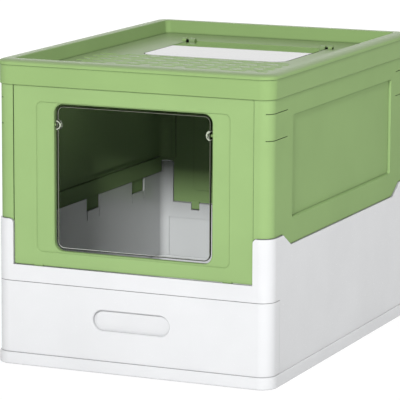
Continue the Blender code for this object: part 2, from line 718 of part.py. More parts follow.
def make_side_wall(name, side, base):
    """Green side wall that turns round both corners, with a sunk panel and tabs."""
    outline = rounded_rectangle(HALF_WIDTH, HALF_DEPTH, CORNER_RADIUS)
    wall = prism(name, outline, SIDE_SEAM_HEIGHT, SIDE_WALL_TOP)
    inner_width = HALF_WIDTH - WALL_THICKNESS
    inner_depth = HALF_DEPTH - WALL_THICKNESS
    inner = rounded_rectangle(inner_width, inner_depth, CORNER_RADIUS - WALL_THICKNESS)
    low_cut = SIDE_SEAM_HEIGHT - OVERRUN
    high_cut = SIDE_WALL_TOP + OVERRUN
    cut(wall, prism(f"{name}_inside", inner, low_cut, high_cut))
    left, right = sorted((side * FLANGE_EDGE, -side * (HALF_WIDTH + OVERRUN)))
    deep = HALF_DEPTH + OVERRUN
    cut(wall, box(f"{name}_other_side", (left, -deep, low_cut), (right, deep, high_cut)))

    pan = inner_width - PANEL_DEPTH
    left, right = sorted((side * pan, side * (inner_width + WALL_THICKNESS / 2)))
    near = -HALF_DEPTH + PANEL_INSET - WALL_THICKNESS
    foot = PANEL_BOTTOM - WALL_THICKNESS
    head = PANEL_TOP + WALL_THICKNESS
    back = rectangle_between(near, -near, foot, head, PANEL_RADIUS, SMALL_SEGMENTS)
    join(wall, prism(f"{name}_pan", back, left, right, "X"))

    def panel(flare, level):
        start = -HALF_DEPTH + PANEL_INSET - flare
        return (
            rectangle_between(
                start,
                -start,
                PANEL_BOTTOM - flare,
                PANEL_TOP + flare,
                PANEL_RADIUS,
                SMALL_SEGMENTS,
            ),
            side * level,
        )

    rings = [panel(PANEL_BEVEL, HALF_WIDTH + OVERRUN), panel(PANEL_BEVEL, HALF_WIDTH)]
    rings += [panel(0, HALF_WIDTH - PANEL_DEPTH)]
    cut(wall, loft(f"{name}_sunk_panel", rings, "X"))

    wide = sorted((side * (FLANGE_EDGE - OVERRUN), side * (HALF_WIDTH + OVERRUN)))
    corner = HALF_DEPTH - SEAM_CORNER_LENGTH
    seams = []
    for end in (-1, 1):
        slope = [(end * corner, CORNER_SEAM_HEIGHT), (end * seam_slope(low_cut), low_cut)]
        slope += [(end * deep, low_cut), (end * deep, CORNER_SEAM_HEIGHT)]
        seams.append(prism("seam", slope, wide[0], wide[1], "X"))
    cut(wall, gather(f"{name}_seams", seams))
    add_foot(wall, side)
    cut_latches(wall, side)
    return make_part(wall, GREEN, (0, 0, 0), base)


def make_end_wall(name, end, base):
    """Green front or back wall: panel, sunk frame, stop edges and hinge lugs."""
    face = HALF_DEPTH - END_SETBACK
    inner = face - END_THICKNESS
    foot = SILL_HEIGHT + END_FOOT_GAP
    half = FLANGE_EDGE - SEAM_GAP
    near, far = sorted((end * face, end * inner))
    wall = box(name, (-half, near, foot), (half, far, END_TOP))

    pad_inner = inner - FRAME_DEPTH
    near, far = sorted((end * (face - END_THICKNESS / 2), end * pad_inner))
    pad = rectangle_between(
        -FRAME_HALF_WIDTH,
        FRAME_HALF_WIDTH,
        FRAME_BOTTOM,
        FRAME_TOP,
        FRAME_RADIUS,
    )
    join(wall, prism(f"{name}_pad", pad, near, far, "Y"))

    def frame(flare, level):
        outline = rectangle_between(
            -FRAME_HALF_WIDTH - flare,
            FRAME_HALF_WIDTH + flare,
            FRAME_BOTTOM - flare,
            FRAME_TOP + flare,
            FRAME_RADIUS,
        )
        return outline, end * level

    rings = [frame(FRAME_BEVEL, face + OVERRUN), frame(FRAME_BEVEL, face)]
    rings += [frame(0, face - FRAME_DEPTH)]
    cut(wall, loft(f"{name}_frame", rings, "Y"))

    stop_face = HALF_DEPTH - WALL_THICKNESS - GAP
    near, far = sorted((end * stop_face, end * (stop_face - STOP_THICKNESS)))
    for side in (-1, 1):
        left, right = sorted((side * (half - STOP_WIDTH), side * (half + STOP_WIDTH)))
        stop = box(f"{name}_stop_{side}", (left, near, STOP_BOTTOM), (right, far, END_TOP))
        join(wall, stop)
        middle = side * LUG_SPACING / 2
        start = middle - LUG_WIDTH / 2
        lug = rectangle_between(
            end * FOLD_AXIS_Y - LUG_RADIUS,
            end * FOLD_AXIS_Y + LUG_RADIUS,
            FOLD_AXIS_HEIGHT - LUG_RADIUS,
            foot + LUG_RISE,
            LUG_RADIUS,
            SMALL_SEGMENTS,
        )
        join(wall, prism(f"{name}_lug_{side}", lug, start, start + LUG_WIDTH, "X"))
        reach = LUG_WIDTH / 2 + TRUNNION_LENGTH
        start = middle - reach
        place = end * FOLD_AXIS_Y
        label = f"{name}_trunnion_{side}"
        join(wall, rod(label, TRUNNION_RADIUS, start, middle + reach, place, FOLD_AXIS_HEIGHT))
    if end < 0:
        open_entrance(wall, face)
    return make_part(wall, GREEN, (0, end * FOLD_AXIS_Y, FOLD_AXIS_HEIGHT), base)


def open_entrance(wall, face):
    """Gives the front wall its entrance, reveal and the flap pins' bosses."""
    sunk = face - FRAME_DEPTH

    def entrance(spread, level):
        outline = rectangle_between(
            -ENTRANCE_HALF_WIDTH - spread,
            ENTRANCE_HALF_WIDTH + spread,
            ENTRANCE_BOTTOM - spread,
            ENTRANCE_TOP + spread,
            ENTRANCE_RADIUS + spread,
        )
        return outline, -level

    reveal_end = HALF_DEPTH - REVEAL_DEPTH
    outline, start = entrance(REVEAL_WALL, sunk - GAP)
    join(wall, prism("reveal", outline, start, -reveal_end, "Y"))
    for side in (-1, 1):
        edge = ENTRANCE_HALF_WIDTH + REVEAL_WALL
        start = side * (ENTRANCE_HALF_WIDTH + REVEAL_WALL / 2)
        tip = side * (edge + FLAP_PIN_BOSS_LENGTH)
        name = f"pin_boss_{side}"
        boss = rod(name, FLAP_PIN_BOSS_RADIUS, start, tip, FLAP_AXIS_Y, FLAP_AXIS_HEIGHT)
        join(wall, boss)
    rings = [entrance(ENTRANCE_LIP, face + OVERRUN), entrance(ENTRANCE_LIP, sunk)]
    rings += [entrance(0, sunk - ENTRANCE_LIP), entrance(0, reveal_end - OVERRUN)]
    cut(wall, loft("entrance", rings, "Y"))
    for side in (-1, 1):
        start = side * (ENTRANCE_HALF_WIDTH - OVERRUN)
        end = side * (ENTRANCE_HALF_WIDTH + REVEAL_WALL + FLAP_PIN_BOSS_LENGTH + OVERRUN)
        bore = FLAP_PIN_RADIUS + GAP
        cut(wall, rod(f"pin_bore_{side}", bore, start, end, FLAP_AXIS_Y, FLAP_AXIS_HEIGHT))


def eye_outline(side, edge, radius):
    """Half-round outline of a flap's eye, straight along the flap's side edge."""
    outline = []
    steps = ROD_SIDES // 2
    for step in range(steps + 1):
        angle = step / steps * math.pi - math.pi / 2
        across = edge - radius * math.cos(angle)
        outline.append((side * across, FLAP_AXIS_HEIGHT + radius * math.sin(angle)))
    return outline


def make_front_flap(wall):
    """Clear flap with a half-round eye at each upper side."""
    half = ENTRANCE_HALF_WIDTH - FLAP_SIDE_GAP
    bottom = ENTRANCE_BOTTOM + FLAP_FOOT_GAP
    top = ENTRANCE_TOP - FLAP_TOP_GAP
    outline = rectangle_between(-half, half, bottom, top, FLAP_RADIUS)
    near = FLAP_AXIS_Y - FLAP_THICKNESS / 2
    flap = prism("front_flap", outline, near, near + FLAP_THICKNESS, "Y")
    bore = FLAP_PIN_RADIUS + GAP
    thick = bore + FLAP_EYE_WALL
    for side in (-1, 1):
        rings = []
        for radius, level in (
            (FLAP_EYE_RADIUS - FLAP_EYE_EDGE, -thick),
            (FLAP_EYE_RADIUS, FLAP_EYE_EDGE - thick),
            (FLAP_EYE_RADIUS, thick - FLAP_EYE_EDGE),
            (FLAP_EYE_RADIUS - FLAP_EYE_EDGE, thick),
        ):
            rings.append((eye_outline(side, half, radius), FLAP_AXIS_Y + level))
        join(flap, loft(f"flap_eye_{side}", rings, "Y"))
    for side in (-1, 1):
        start = side * (half - FLAP_EYE_LENGTH - GAP)
        end = side * (half + OVERRUN)
        cut(flap, rod(f"flap_bore_{side}", bore, start, end, FLAP_AXIS_Y, FLAP_AXIS_HEIGHT))
    return make_part(flap, CLEAR, (0, FLAP_AXIS_Y, FLAP_AXIS_HEIGHT), wall)


def make_flap_pin(name, side, wall):
    """Short pin that carries one side of the flap."""
    inner = ENTRANCE_HALF_WIDTH - FLAP_SIDE_GAP - FLAP_PIN_REACH
    start = side * inner
    end = side * (inner + FLAP_PIN_LENGTH)
    pin = rod(name, FLAP_PIN_RADIUS, start, end, FLAP_AXIS_Y, FLAP_AXIS_HEIGHT)
    return make_part(pin, GREEN, (0, FLAP_AXIS_Y, FLAP_AXIS_HEIGHT), wall)


def lid_profile():
    """Rings of the lid's outer side: band, lip and crowned rim."""
    band = LID_CLEARANCE + LID_BAND
    lip = band + LID_LIP_PROUD
    lip_top = LID_LIP_HEIGHT + LID_LIP_RISE + LID_LIP_STRAIGHT
    profile = [(band - LID_BOTTOM_EDGE, LID_BOTTOM), (band, LID_BOTTOM + LID_BOTTOM_EDGE)]
    profile += [(band, LID_LIP_HEIGHT), (lip, LID_LIP_HEIGHT + LID_LIP_RISE)]
    for step in range(LID_CROWN_STEPS + 1):
        angle = step / LID_CROWN_STEPS * math.pi / 2
        inset = LID_CROWN_WIDTH * (1 - math.cos(angle))
        rise = (LID_TOP - lip_top) * math.sin(angle)
        profile.append((lip - inset, lip_top + rise))
    return profile


def slot_rows():
    """Places of the filter slots: for each row, its Y and the slots' middles and half lengths."""
    edge = LID_INNER_HALF_WIDTH + LID_BAND + LID_LIP_PROUD - LID_RIM_WIDTH
    limit = edge - LID_INNER_DRAFT - SLOT_SIDE_MARGIN
    front = LID_RIM_WIDTH + LID_INNER_DRAFT + SLOT_FRONT_MARGIN - LID_INNER_HALF_DEPTH
    row = HATCH_FRONT - SLOT_HATCH_MARGIN
    rows = []
    shifted = False
    while row > front:
        slots = []
        middle = SLOT_PITCH / 2 if shifted else 0
        while middle - SLOT_LENGTH / 2 < limit - SLOT_WIDTH * 2:
            start = middle - SLOT_LENGTH / 2
            end = min(middle + SLOT_LENGTH / 2, limit)
            for side in (-1, 1) if middle else (1,):
                slots.append((side * (start + end) / 2, (end - start) / 2))
            middle += SLOT_PITCH
        rows.append((row, slots))
        row -= SLOT_ROW_PITCH
        shifted = not shifted
    return rows


def cut_filter_slots(lid):
    """Cuts every filter slot with one cutter of separate stadium prisms."""
    low = LID_FLOOR_UNDERSIDE - OVERRUN
    high = LID_FLOOR_TOP + OVERRUN
    radius = SLOT_WIDTH / 2
    slots = []
    for row, places in slot_rows():
        for middle, half in places:
            outline = rounded_rectangle(half, radius, radius, (middle, row), SLOT_SEGMENTS)
            slots.append(loft("slot", [(outline, low), (outline, high)]))
    cut(lid, gather("filter_slots", slots))


def cut_rim_cells(lid):
    """Hollows the rim from below into cells, whose webs bear on the side walls."""
    outer_x = LID_INNER_HALF_WIDTH
    outer_y = LID_INNER_HALF_DEPTH
    width = LID_RIM_WIDTH - LID_BAND - LID_LIP_PROUD - LID_CELL_WALL
    inner_x = outer_x - width
    inner_y = outer_y - width
    low = LID_FLOOR_UNDERSIDE - OVERRUN
    cells = []
    pitch = (2 * inner_y + RIB_THICKNESS) / LID_CELLS_ALONG
    for number in range(LID_CELLS_ALONG):
        near = -inner_y + number * pitch
        far = near + pitch - RIB_THICKNESS
        for side in (-1, 1):
            left, right = sorted((side * inner_x, side * (outer_x - GAP)))
            cells.append(box("cell", (left, near, low), (right, far, LID_CELL_TOP)))
    pitch = (2 * inner_x + RIB_THICKNESS) / LID_CELLS_ACROSS
    for number in range(LID_CELLS_ACROSS):
        left = -inner_x + number * pitch
        right = left + pitch - RIB_THICKNESS
        for end in (-1, 1):
            near, far = sorted((end * (inner_y + RIB_THICKNESS), end * (outer_y - GAP)))
            cells.append(box("cell", (left, near, low), (right, far, LID_CELL_TOP)))
    cut(lid, gather("rim_cells", cells))


def seat_hatch(lid):
    """Frames the hatch's opening, with a ledge at three sides and lugs behind."""
    half = HATCH_HALF_WIDTH + HATCH_SIDE_CLEARANCE
    front = HATCH_FRONT - HATCH_CLEARANCE
    back = HATCH_AXIS_Y + HATCH_SWEEP_GAP
    frame_low = LID_FLOOR_UNDERSIDE - HATCH_FRAME_DEPTH
    lug_start = HATCH_HALF_WIDTH - HATCH_EYE_INSET + HATCH_PIN_SHOWN
    lug_end = lug_start + HATCH_LUG_WIDTH
    frame_half = lug_end + HATCH_FRAME_WIDTH / 2
    frame = rectangle_between(
        -frame_half,
        frame_half,
        front - HATCH_FRAME_WIDTH,
        back + HATCH_FRAME_WIDTH,
        HATCH_RADIUS,
    )
    join(lid, prism("hatch_frame", frame, frame_low, LID_FLOOR_TOP - LID_FLOOR / 2))
    for side in (-1, 1):
        left, right = sorted((side * lug_start, side * lug_end))
        lug = rectangle_between(
            HATCH_AXIS_Y - HATCH_LUG_RADIUS,
            HATCH_AXIS_Y + HATCH_LUG_RADIUS,
            LID_FLOOR_UNDERSIDE - HATCH_LUG_RADIUS / 2,
            HATCH_AXIS_Z + HATCH_LUG_RADIUS,
            HATCH_LUG_RADIUS - GAP,
            SMALL_SEGMENTS,
        )
        join(lid, prism(f"hatch_lug_{side}", lug, left, right, "X"))

    seat = HATCH_THICKNESS + GAP
    rebate = hatch_outline(half, front, back)
    cut(lid, prism("hatch_rebate", rebate, LID_FLOOR_TOP - seat, LID_FLOOR_TOP + OVERRUN))
    hole = hatch_outline(half - HATCH_LEDGE, front + HATCH_LEDGE, back)
    cut(lid, prism("hatch_hole", hole, frame_low - OVERRUN, LID_FLOOR_TOP + OVERRUN))
    eye = HATCH_PIN_RADIUS + GAP + HATCH_EYE_WALL + HATCH_EYE_CLEARANCE
    for side in (-1, 1):
        inner = HATCH_HALF_WIDTH - HATCH_EYE_INSET - HATCH_EYE_LENGTH - HATCH_EYE_CLEARANCE
        left, right = sorted((side * inner, side * lug_start))
        low = (left, HATCH_AXIS_Y - eye, frame_low - OVERRUN)
        high = (right, HATCH_AXIS_Y + eye, LID_FLOOR_TOP + OVERRUN)
        cut(lid, box(f"eye_space_{side}", low, high))
        bore = HATCH_PIN_RADIUS + GAP
        start = side * (lug_start - OVERRUN)
        end = side * (lug_end + GAP)
        cut(lid, rod(f"hatch_pin_bore_{side}", bore, start, end, HATCH_AXIS_Y, HATCH_AXIS_Z))


def hatch_outline(half, front, back):
    """Rectangle with rounded front corners and a straight back."""
    whole = rectangle_between(-half, half, front, back, HATCH_RADIUS)
    middle = (front + back) / 2
    outline = [point for point in whole if point[1] < middle]
    return [(-half, back), *outline, (half, back)]


def make_lid(base):
    """Green lid: band, crowned rim, filter floor and the hatch's seat."""
    rings = []
    for proud, level in lid_profile():
        half_width = HALF_WIDTH + proud
        half_depth = HALF_DEPTH + proud
        rings.append((rounded_rectangle(half_width, half_depth, CORNER_RADIUS + proud), level))
    lid = loft("lid", rings)

    proud = LID_CLEARANCE + LID_BAND + LID_LIP_PROUD - LID_RIM_WIDTH

    def tray(inset, level):
        half_width = HALF_WIDTH + proud - inset
        half_depth = HALF_DEPTH + proud - inset
        return rounded_rectangle(half_width, half_depth, LID_INNER_RADIUS), level

    rings = [tray(LID_INNER_DRAFT, LID_FLOOR_TOP), tray(0, LID_TOP - LID_INNER_EDGE)]
    rings += [tray(-LID_INNER_EDGE, LID_TOP), tray(-LID_INNER_EDGE, LID_TOP + OVERRUN)]
    cut(lid, loft("lid_tray", rings))
    radius = CORNER_RADIUS + LID_CLEARANCE
    under = rounded_rectangle(LID_INNER_HALF_WIDTH, LID_INNER_HALF_DEPTH, radius)
    cut(lid, prism("lid_under", under, LID_BOTTOM - OVERRUN, LID_FLOOR_UNDERSIDE))
    cut_rim_cells(lid)
    seat_hatch(lid)
    cut_filter_slots(lid)
    return make_part(lid, GREEN, (0, 0, LID_BOTTOM), base)


def make_top_hatch(lid):
    """Clear hatch that lies flush in the lid's floor, with two eyes behind."""
    outline = hatch_outline(HATCH_HALF_WIDTH, HATCH_FRONT, HATCH_BACK)
    bottom = LID_FLOOR_TOP - HATCH_THICKNESS
    hatch = prism("top_hatch", outline, bottom, LID_FLOOR_TOP)
    bore = HATCH_PIN_RADIUS + GAP
    outer = HATCH_HALF_WIDTH - HATCH_EYE_INSET
    for side in (-1, 1):
        start = side * (outer - HATCH_EYE_LENGTH)
        radius = bore + HATCH_EYE_WALL
        label = f"hatch_eye_{side}"
        join(hatch, rod(label, radius, start, side * outer, HATCH_AXIS_Y, HATCH_AXIS_Z))
    for side in (-1, 1):
        start = side * (outer - HATCH_EYE_LENGTH - GAP)
        end = side * (HATCH_HALF_WIDTH + OVERRUN)
        cut(hatch, rod(f"hatch_bore_{side}", bore, start, end, HATCH_AXIS_Y, HATCH_AXIS_Z))
    return make_part(hatch, CLEAR, (0, HATCH_AXIS_Y, HATCH_AXIS_Z), lid)


def make_hatch_pin(name, side, lid):
    """Black pin from the hatch's eye into the lid's lug."""
    outer = HATCH_HALF_WIDTH - HATCH_EYE_INSET
    start = side * (outer - HATCH_EYE_LENGTH)
    end = side * (outer + HATCH_PIN_SHOWN + HATCH_LUG_WIDTH)
    pin = rod(name, HATCH_PIN_RADIUS, start, end, HATCH_AXIS_Y, HATCH_AXIS_Z)
    return make_part(pin, BLACK, (0, HATCH_AXIS_Y, HATCH_AXIS_Z), lid)


clear_scene()
PARTS = new_collection("enclosed_litter_box")
CUTTERS = new_collection("cutters")

base_frame = make_base_frame()
make_litter_drawer(base_frame)
make_side_wall("left_wall", -1, base_frame)
make_side_wall("right_wall", 1, base_frame)
front_wall = make_end_wall("front_wall", -1, base_frame)
make_end_wall("back_wall", 1, base_frame)
make_front_flap(front_wall)
make_flap_pin("flap_pin_left", -1, front_wall)
make_flap_pin("flap_pin_right", 1, front_wall)
lid = make_lid(base_frame)
make_top_hatch(lid)
make_hatch_pin("hatch_pin_left", -1, lid)
make_hatch_pin("hatch_pin_right", 1, lid)
bpy.context.view_layer.update()
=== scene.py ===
"""Looks of the enclosed litter box: finishes, softened edges, light and camera.
Metres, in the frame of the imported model: +Z up, the front towards -Y."""

import math

import bpy
from mathutils import Matrix, Vector


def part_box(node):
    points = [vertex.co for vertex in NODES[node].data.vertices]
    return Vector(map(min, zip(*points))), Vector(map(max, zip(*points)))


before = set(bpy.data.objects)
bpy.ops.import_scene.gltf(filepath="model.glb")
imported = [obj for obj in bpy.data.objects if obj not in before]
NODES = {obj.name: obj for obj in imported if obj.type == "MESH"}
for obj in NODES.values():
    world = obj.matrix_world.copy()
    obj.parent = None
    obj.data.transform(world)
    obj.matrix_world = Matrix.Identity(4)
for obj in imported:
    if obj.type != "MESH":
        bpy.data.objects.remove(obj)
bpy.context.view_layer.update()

# Camera, fitted to the photograph
EYE = (1.4082, -3.2784, 0.8178)
YAW = 0.4097
PITCH = 0.1769
ROLL = 0.0046
SENSOR_WIDTH = 36
LENS = 250.93
CLIP_START = 0.1
CLIP_END = 50

# Softened edges
EDGE_RADIUS = 0.0006
THIN_EDGE_RADIUS = 0.0003
EDGE_SEGMENTS = 2
EDGE_ANGLE = math.radians(35)
WELD_DISTANCE = 0.00002
FLAT_ANGLE = math.radians(0.6)
FACE_WEIGHT = 60

# Colours of the plastics, in display values from 0 to 255
GREEN_COLOUR = (158, 189, 126)
LID_COLOUR = (153, 184, 120)
WHITE_COLOUR = (234, 235, 237)
BLACK_COLOUR = (20, 22, 19)
# painted reflection: the greyer colour that the lid's upward faces lean towards
LID_TOP_REFLECTION_COLOUR = (135, 148, 115)
HATCH_EYE_COLOUR = (128, 158, 96)  # like the lid's floor around it

# Moulded plastic
PLASTIC_IOR = 1.49
GREEN_ROUGHNESS = 0.6
GREEN_GLOSS = 0.06
LID_ROUGHNESS = 0.5
LID_GLOSS = 0.1
WHITE_ROUGHNESS = 0.25
WHITE_GLOSS = 0.8
BLACK_ROUGHNESS = 0.9
BLACK_GLOSS = 0.05
DRIFT_SCALE = 9
DRIFT_DETAIL = 3
DRIFT_START = 0.3
DRIFT_END = 0.7
DRIFT_DARK = 0.965
DRIFT_LIGHT = 1.03
GRAIN_SCALE = 700
GRAIN_DETAIL = 4
GRAIN_STRENGTH = 0.35
GRAIN_DEPTH = 0.00003
ROUGHNESS_SPREAD = 0.06
BOUNCE_SHARE = 0.5  # share of a surface's colour in the light it throws on others

# Painted shade that darkens seams and creases, where an ambient occlusion test finds nearby
# surfaces
CREASE_SAMPLES = 8
CREASE_REACH = 0.003
CREASE_DEEP = 0.3
CREASE_OPEN = 0.9
CREASE_SHADE_SHARE = 0.12  # share of the colour left at the bottom of a seam
WHITE_CREASE_SHADE_SHARE = 0.8

# Upward faces of the lid: a smooth coat, and a painted reflection that turns their colour
# greyer
TOP_START = 0.5  # least upward share of a face's direction that gets the coat and the painted reflection
TOP_REFLECTION_SHARE = 0.5  # share of the painted reflection's colour where a face is level
TOP_COAT = 0.4
TOP_COAT_ROUGHNESS = 0.2

# Clear plastic, whose light is the share of a lamp's light that one face lets through
CLEAR_COLOUR = (0.97, 0.99, 0.97)
CLEAR_ROUGHNESS = 0.01
CLEAR_COAT_IOR = 1.8
WAVE_SCALE = 14
WAVE_DETAIL = 1
WAVE_STRENGTH = 0.1
WAVE_DEPTH = 0.0004
FLAP_IOR = 1.46
FLAP_TINT = 0.02
FLAP_LIGHT = 1
HATCH_IOR = 1.7
HATCH_LIGHT = 0.4

# Edge of the flap: a painted shadow line, a painted highlight line inside it, and a brighter
# painted reflection of the floor at its foot
FLAP_RADIUS = 0.009
EDGE_SHADOW_WIDTH = 0.001
EDGE_HIGHLIGHT_WIDTH = 0.0006
EDGE_FADE = 0.012
EDGE_SHADOW_COLOUR = (0.01, 0.014, 0.006)
EDGE_HIGHLIGHT_COLOUR = (0.19, 0.2, 0.16)
EDGE_FOOT_REFLECTION_COLOUR = (0.5, 0.52, 0.5)

# Painted highlights: bright rings round the flap's eyes
FLAP_AXIS_HEIGHT = 0.305
EYE_RING_INNER = 0.0045
EYE_RING_OUTER = 0.0057
EYE_HIGHLIGHT_COLOUR = (0.55, 0.6, 0.48)

# Side edges and eyes of the hatch, with a painted shadow line along the side edges, and where
# its pins leave the eyes
HATCH_EDGE = 0.0012
HATCH_EYE_REACH = 0.0084
HATCH_EYE_WIDTH = 0.0125
HATCH_EYE_END = 0.0982

# Floor, world and lamps
FLOOR_REACH = 12
FLOOR_COLOUR = 0.8
FLOOR_GLOW = 1.1
FLOOR_GLOW_SHARE = 0.85
FADE_START = 0.6
FADE_END = 1.6
WORLD_LIGHT = 0.1
LAMP_TARGET = (0, 0, 0.2)
LAMPS = (  # name, place, size and power
    ("key", (0.9, -4.9, 2.18), 0.7, 216),
    ("fill", (2.6, -0.25, 1.35), 1.0, 22.5),
    ("top", (-0.4, 0.7, 3.0), 1.6, 8),
    ("back", (-2.2, 3.6, 1.3), 1.6, 75),
)

# The step between display values and light, as the sRGB standard gives it
DISPLAY_STEPS = 255
DARK_END = 0.04045
DARK_SLOPE = 12.92
CURVE_OFFSET = 0.055
CURVE_POWER = 2.4


def linear(display):
    """A colour in light, from one in display values from 0 to 255."""
    result = []
    for value in display:
        share = value / DISPLAY_STEPS
        curve = ((share + CURVE_OFFSET) / (1 + CURVE_OFFSET)) ** CURVE_POWER
        result.append(share / DARK_SLOPE if share <= DARK_END else curve)
    return tuple(result)


def calculate(nodes, links, operation, first, second=0):
    """One sum on two values, each a socket or a number."""
    node = nodes.new("ShaderNodeMath")
    node.operation = operation
    for place, value in enumerate((first, second)):
        if isinstance(value, (int, float)):
            node.inputs[place].default_value = value
        else:
            links.new(value, node.inputs[place])
    return node.outputs["Value"]


def remap(nodes, links, value, start, end, low, high):
    """Turns a value from start to end into one from low to high."""
    node = nodes.new("ShaderNodeMapRange")
    node.inputs["From Min"].default_value = start
    node.inputs["From Max"].default_value = end
    node.inputs["To Min"].default_value = low
    node.inputs["To Max"].default_value = high
    links.new(value, node.inputs["Value"])
    return node.outputs["Result"]


def mix_colours(nodes, links, share, first, second):
    """The first colour where the share is 0, and the second where it is 1."""
    mix = nodes.new("ShaderNodeMix")
    mix.data_type = "RGBA"
    links.new(share, mix.inputs["Factor"])
    for name, colour in (("A", first), ("B", second)):
        if isinstance(colour, tuple):
            mix.inputs[name].default_value = (*colour, 1)
        else:
            links.new(colour, mix.inputs[name])
    return mix.outputs["Result"]


def coordinates(nodes, links):
    """A point's place on the object, as the outputs X, Y and Z."""
    place = nodes.new("ShaderNodeTexCoord")
    parts = nodes.new("ShaderNodeSeparateXYZ")
    links.new(place.outputs["Object"], parts.inputs[0])
    return parts.outputs


def noise(nodes, links, scale, detail):
    """Noise that is fixed to the object."""
    place = nodes.new("ShaderNodeTexCoord")
    pattern = nodes.new("ShaderNodeTexNoise")
    pattern.inputs["Scale"].default_value = scale
    pattern.inputs["Detail"].default_value = detail
    links.new(place.outputs["Object"], pattern.inputs["Vector"])
    return pattern.outputs["Fac"]


def relief(nodes, links, shader, height, strength, depth):
    """Bumps the surface by a pattern."""
    bump = nodes.new("ShaderNodeBump")
    bump.inputs["Strength"].default_value = strength
    bump.inputs["Distance"].default_value = depth
    links.new(height, bump.inputs["Height"])
    links.new(bump.outputs["Normal"], shader.inputs["Normal"])


def open_nodes(material):
    """A material's nodes, links and shader."""
    nodes = material.node_tree.nodes
    return nodes, material.node_tree.links, nodes["Principled BSDF"]


def new_material(name):
    """A material with its shader."""
    material = bpy.data.materials.new(name)
    material.use_nodes = True
    return material


def plastic(name, display, roughness, gloss, crease_shade_share=CREASE_SHADE_SHARE):
    """Moulded plastic: fine grain, a little colour drift, and painted shade darkening its seams
    and creases.
    """
    material = new_material(name)
    nodes, links, shader = open_nodes(material)
    shader.inputs["IOR"].default_value = PLASTIC_IOR
    shader.inputs["Specular IOR Level"].default_value = gloss
    colour = linear(display)
    ramp = nodes.new("ShaderNodeValToRGB")
    dark, light = ramp.color_ramp.elements
    dark.position = DRIFT_START
    dark.color = (*(part * DRIFT_DARK for part in colour), 1)
    light.position = DRIFT_END
    light.color = (*(min(1, part * DRIFT_LIGHT) for part in colour), 1)
    links.new(noise(nodes, links, DRIFT_SCALE, DRIFT_DETAIL), ramp.inputs["Fac"])
    path = nodes.new("ShaderNodeLightPath")
    calm = remap(nodes, links, path.outputs["Is Diffuse Ray"], 0, 1, 1, BOUNCE_SHARE)
    # painted shade: ambient occlusion darkens the colour in seams and creases
    crease_shade = nodes.new("ShaderNodeAmbientOcclusion")
    crease_shade.samples = CREASE_SAMPLES
    crease_shade.inputs["Distance"].default_value = CREASE_REACH
    depth = remap(nodes, links, crease_shade.outputs["AO"], CREASE_DEEP, CREASE_OPEN, crease_shade_share, 1)
    tint = nodes.new("ShaderNodeVectorMath")
    tint.name = "tint"
    tint.operation = "SCALE"
    links.new(ramp.outputs["Color"], tint.inputs[0])
    links.new(calculate(nodes, links, "MULTIPLY", calm, depth), tint.inputs["Scale"])
    links.new(tint.outputs["Vector"], shader.inputs["Base Color"])
    grain = noise(nodes, links, GRAIN_SCALE, GRAIN_DETAIL)
    low = roughness - ROUGHNESS_SPREAD
    high = roughness + ROUGHNESS_SPREAD
    links.new(remap(nodes, links, grain, 0, 1, low, high), shader.inputs["Roughness"])
    relief(nodes, links, shader, grain, GRAIN_STRENGTH, GRAIN_DEPTH)
    return material


def clear_plastic(name, ior, tint, coat, light_share):
    """Clear sheet with a faint waviness, which lets a share of the lamps' light through."""
    material = new_material(name)
    nodes, links, shader = open_nodes(material)
    shader.inputs["Base Color"].default_value = (*CLEAR_COLOUR, 1)
    shader.inputs["Transmission Weight"].default_value = 1
    shader.inputs["IOR"].default_value = ior
    shader.inputs["Specular Tint"].default_value = (tint, tint, tint, 1)
    shader.inputs["Coat Weight"].default_value = coat
    shader.inputs["Coat IOR"].default_value = CLEAR_COAT_IOR
    wave = noise(nodes, links, WAVE_SCALE, WAVE_DETAIL)
    rough = remap(nodes, links, wave, 0, 1, CLEAR_ROUGHNESS, 2 * CLEAR_ROUGHNESS)
    links.new(rough, shader.inputs["Roughness"])
    relief(nodes, links, shader, wave, WAVE_STRENGTH, WAVE_DEPTH)
    path = nodes.new("ShaderNodeLightPath")
    clear = nodes.new("ShaderNodeBsdfTransparent")
    clear.inputs["Color"].default_value = (light_share, light_share, light_share, 1)
    mix = nodes.new("ShaderNodeMixShader")
    links.new(path.outputs["Is Shadow Ray"], mix.inputs["Fac"])
    links.new(shader.outputs["BSDF"], mix.inputs[1])
    links.new(clear.outputs["BSDF"], mix.inputs[2])
    links.new(mix.outputs["Shader"], nodes["Material Output"].inputs["Surface"])
    return material


def edge_depth(nodes, links, half, centre, radius):
    """How far a point lies outside a rounded rectangle across X and Z, less than 0 inside."""
    parts = coordinates(nodes, links)
    lengths = []
    squares = []
    for axis, middle, reach in zip("XZ", centre, half):
        offset = calculate(nodes, links, "SUBTRACT", parts[axis], middle)
        size = calculate(nodes, links, "ABSOLUTE", offset)
        length = calculate(nodes, links, "SUBTRACT", size, reach - radius)
        outside = calculate(nodes, links, "MAXIMUM", length, 0)
        lengths.append(length)
        squares.append(calculate(nodes, links, "MULTIPLY", outside, outside))
    corner = calculate(nodes, links, "SQRT", calculate(nodes, links, "ADD", *squares))
    longest = calculate(nodes, links, "MAXIMUM", *lengths)
    inner = calculate(nodes, links, "MINIMUM", longest, 0)
    distance = calculate(nodes, links, "ADD", corner, inner)
    return calculate(nodes, links, "SUBTRACT", distance, radius)


